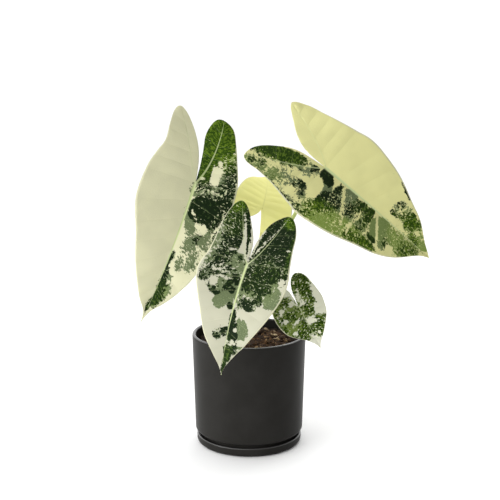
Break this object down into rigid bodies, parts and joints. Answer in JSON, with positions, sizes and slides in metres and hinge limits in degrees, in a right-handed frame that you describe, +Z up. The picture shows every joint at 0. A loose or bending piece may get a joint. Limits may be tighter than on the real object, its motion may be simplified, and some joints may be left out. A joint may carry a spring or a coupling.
{
  "type": "potted frydek alocasia",
  "caption": "potted variegated frydek alocasia: arrow-shaped velvety leaves with cream and green marbling on slim stalks, in a matte black cylinder pot on a saucer",
  "frame": {"origin": "middle of the saucer's flat underside, on the pot's axis", "axes": "+Z up, along the pot's axis; -Y towards the viewer of the picture; +X to the viewer's right"},
  "size_m": [0.3844, 0.3014, 0.4561],
  "materials": {
    "saucer": "matte black glaze",
    "pot": "matte black glaze",
    "soil": "loose bark, coir and pumice potting mix",
    "corm": "rough, with papery leaf sheaths",
    "petiole": "smooth pale green, slightly translucent",
    "blade": "velvety, cream and green marbled variegation",
    "yellow_blade": "velvety, translucent yellow"
  },
  "bodies": {
    "root": {"saucer": "saucer", "pot": "pot", "soil": "soil", "corm": "corm", "petiole_left": "petiole", "petiole_right": "petiole", "petiole_front": "petiole", "petiole_small": "petiole", "petiole_back": "petiole", "leaf_left": "blade", "leaf_right": "blade", "leaf_front": "blade", "leaf_small": "blade", "leaf_back": "yellow_blade"}
  },
  "joints": []
}
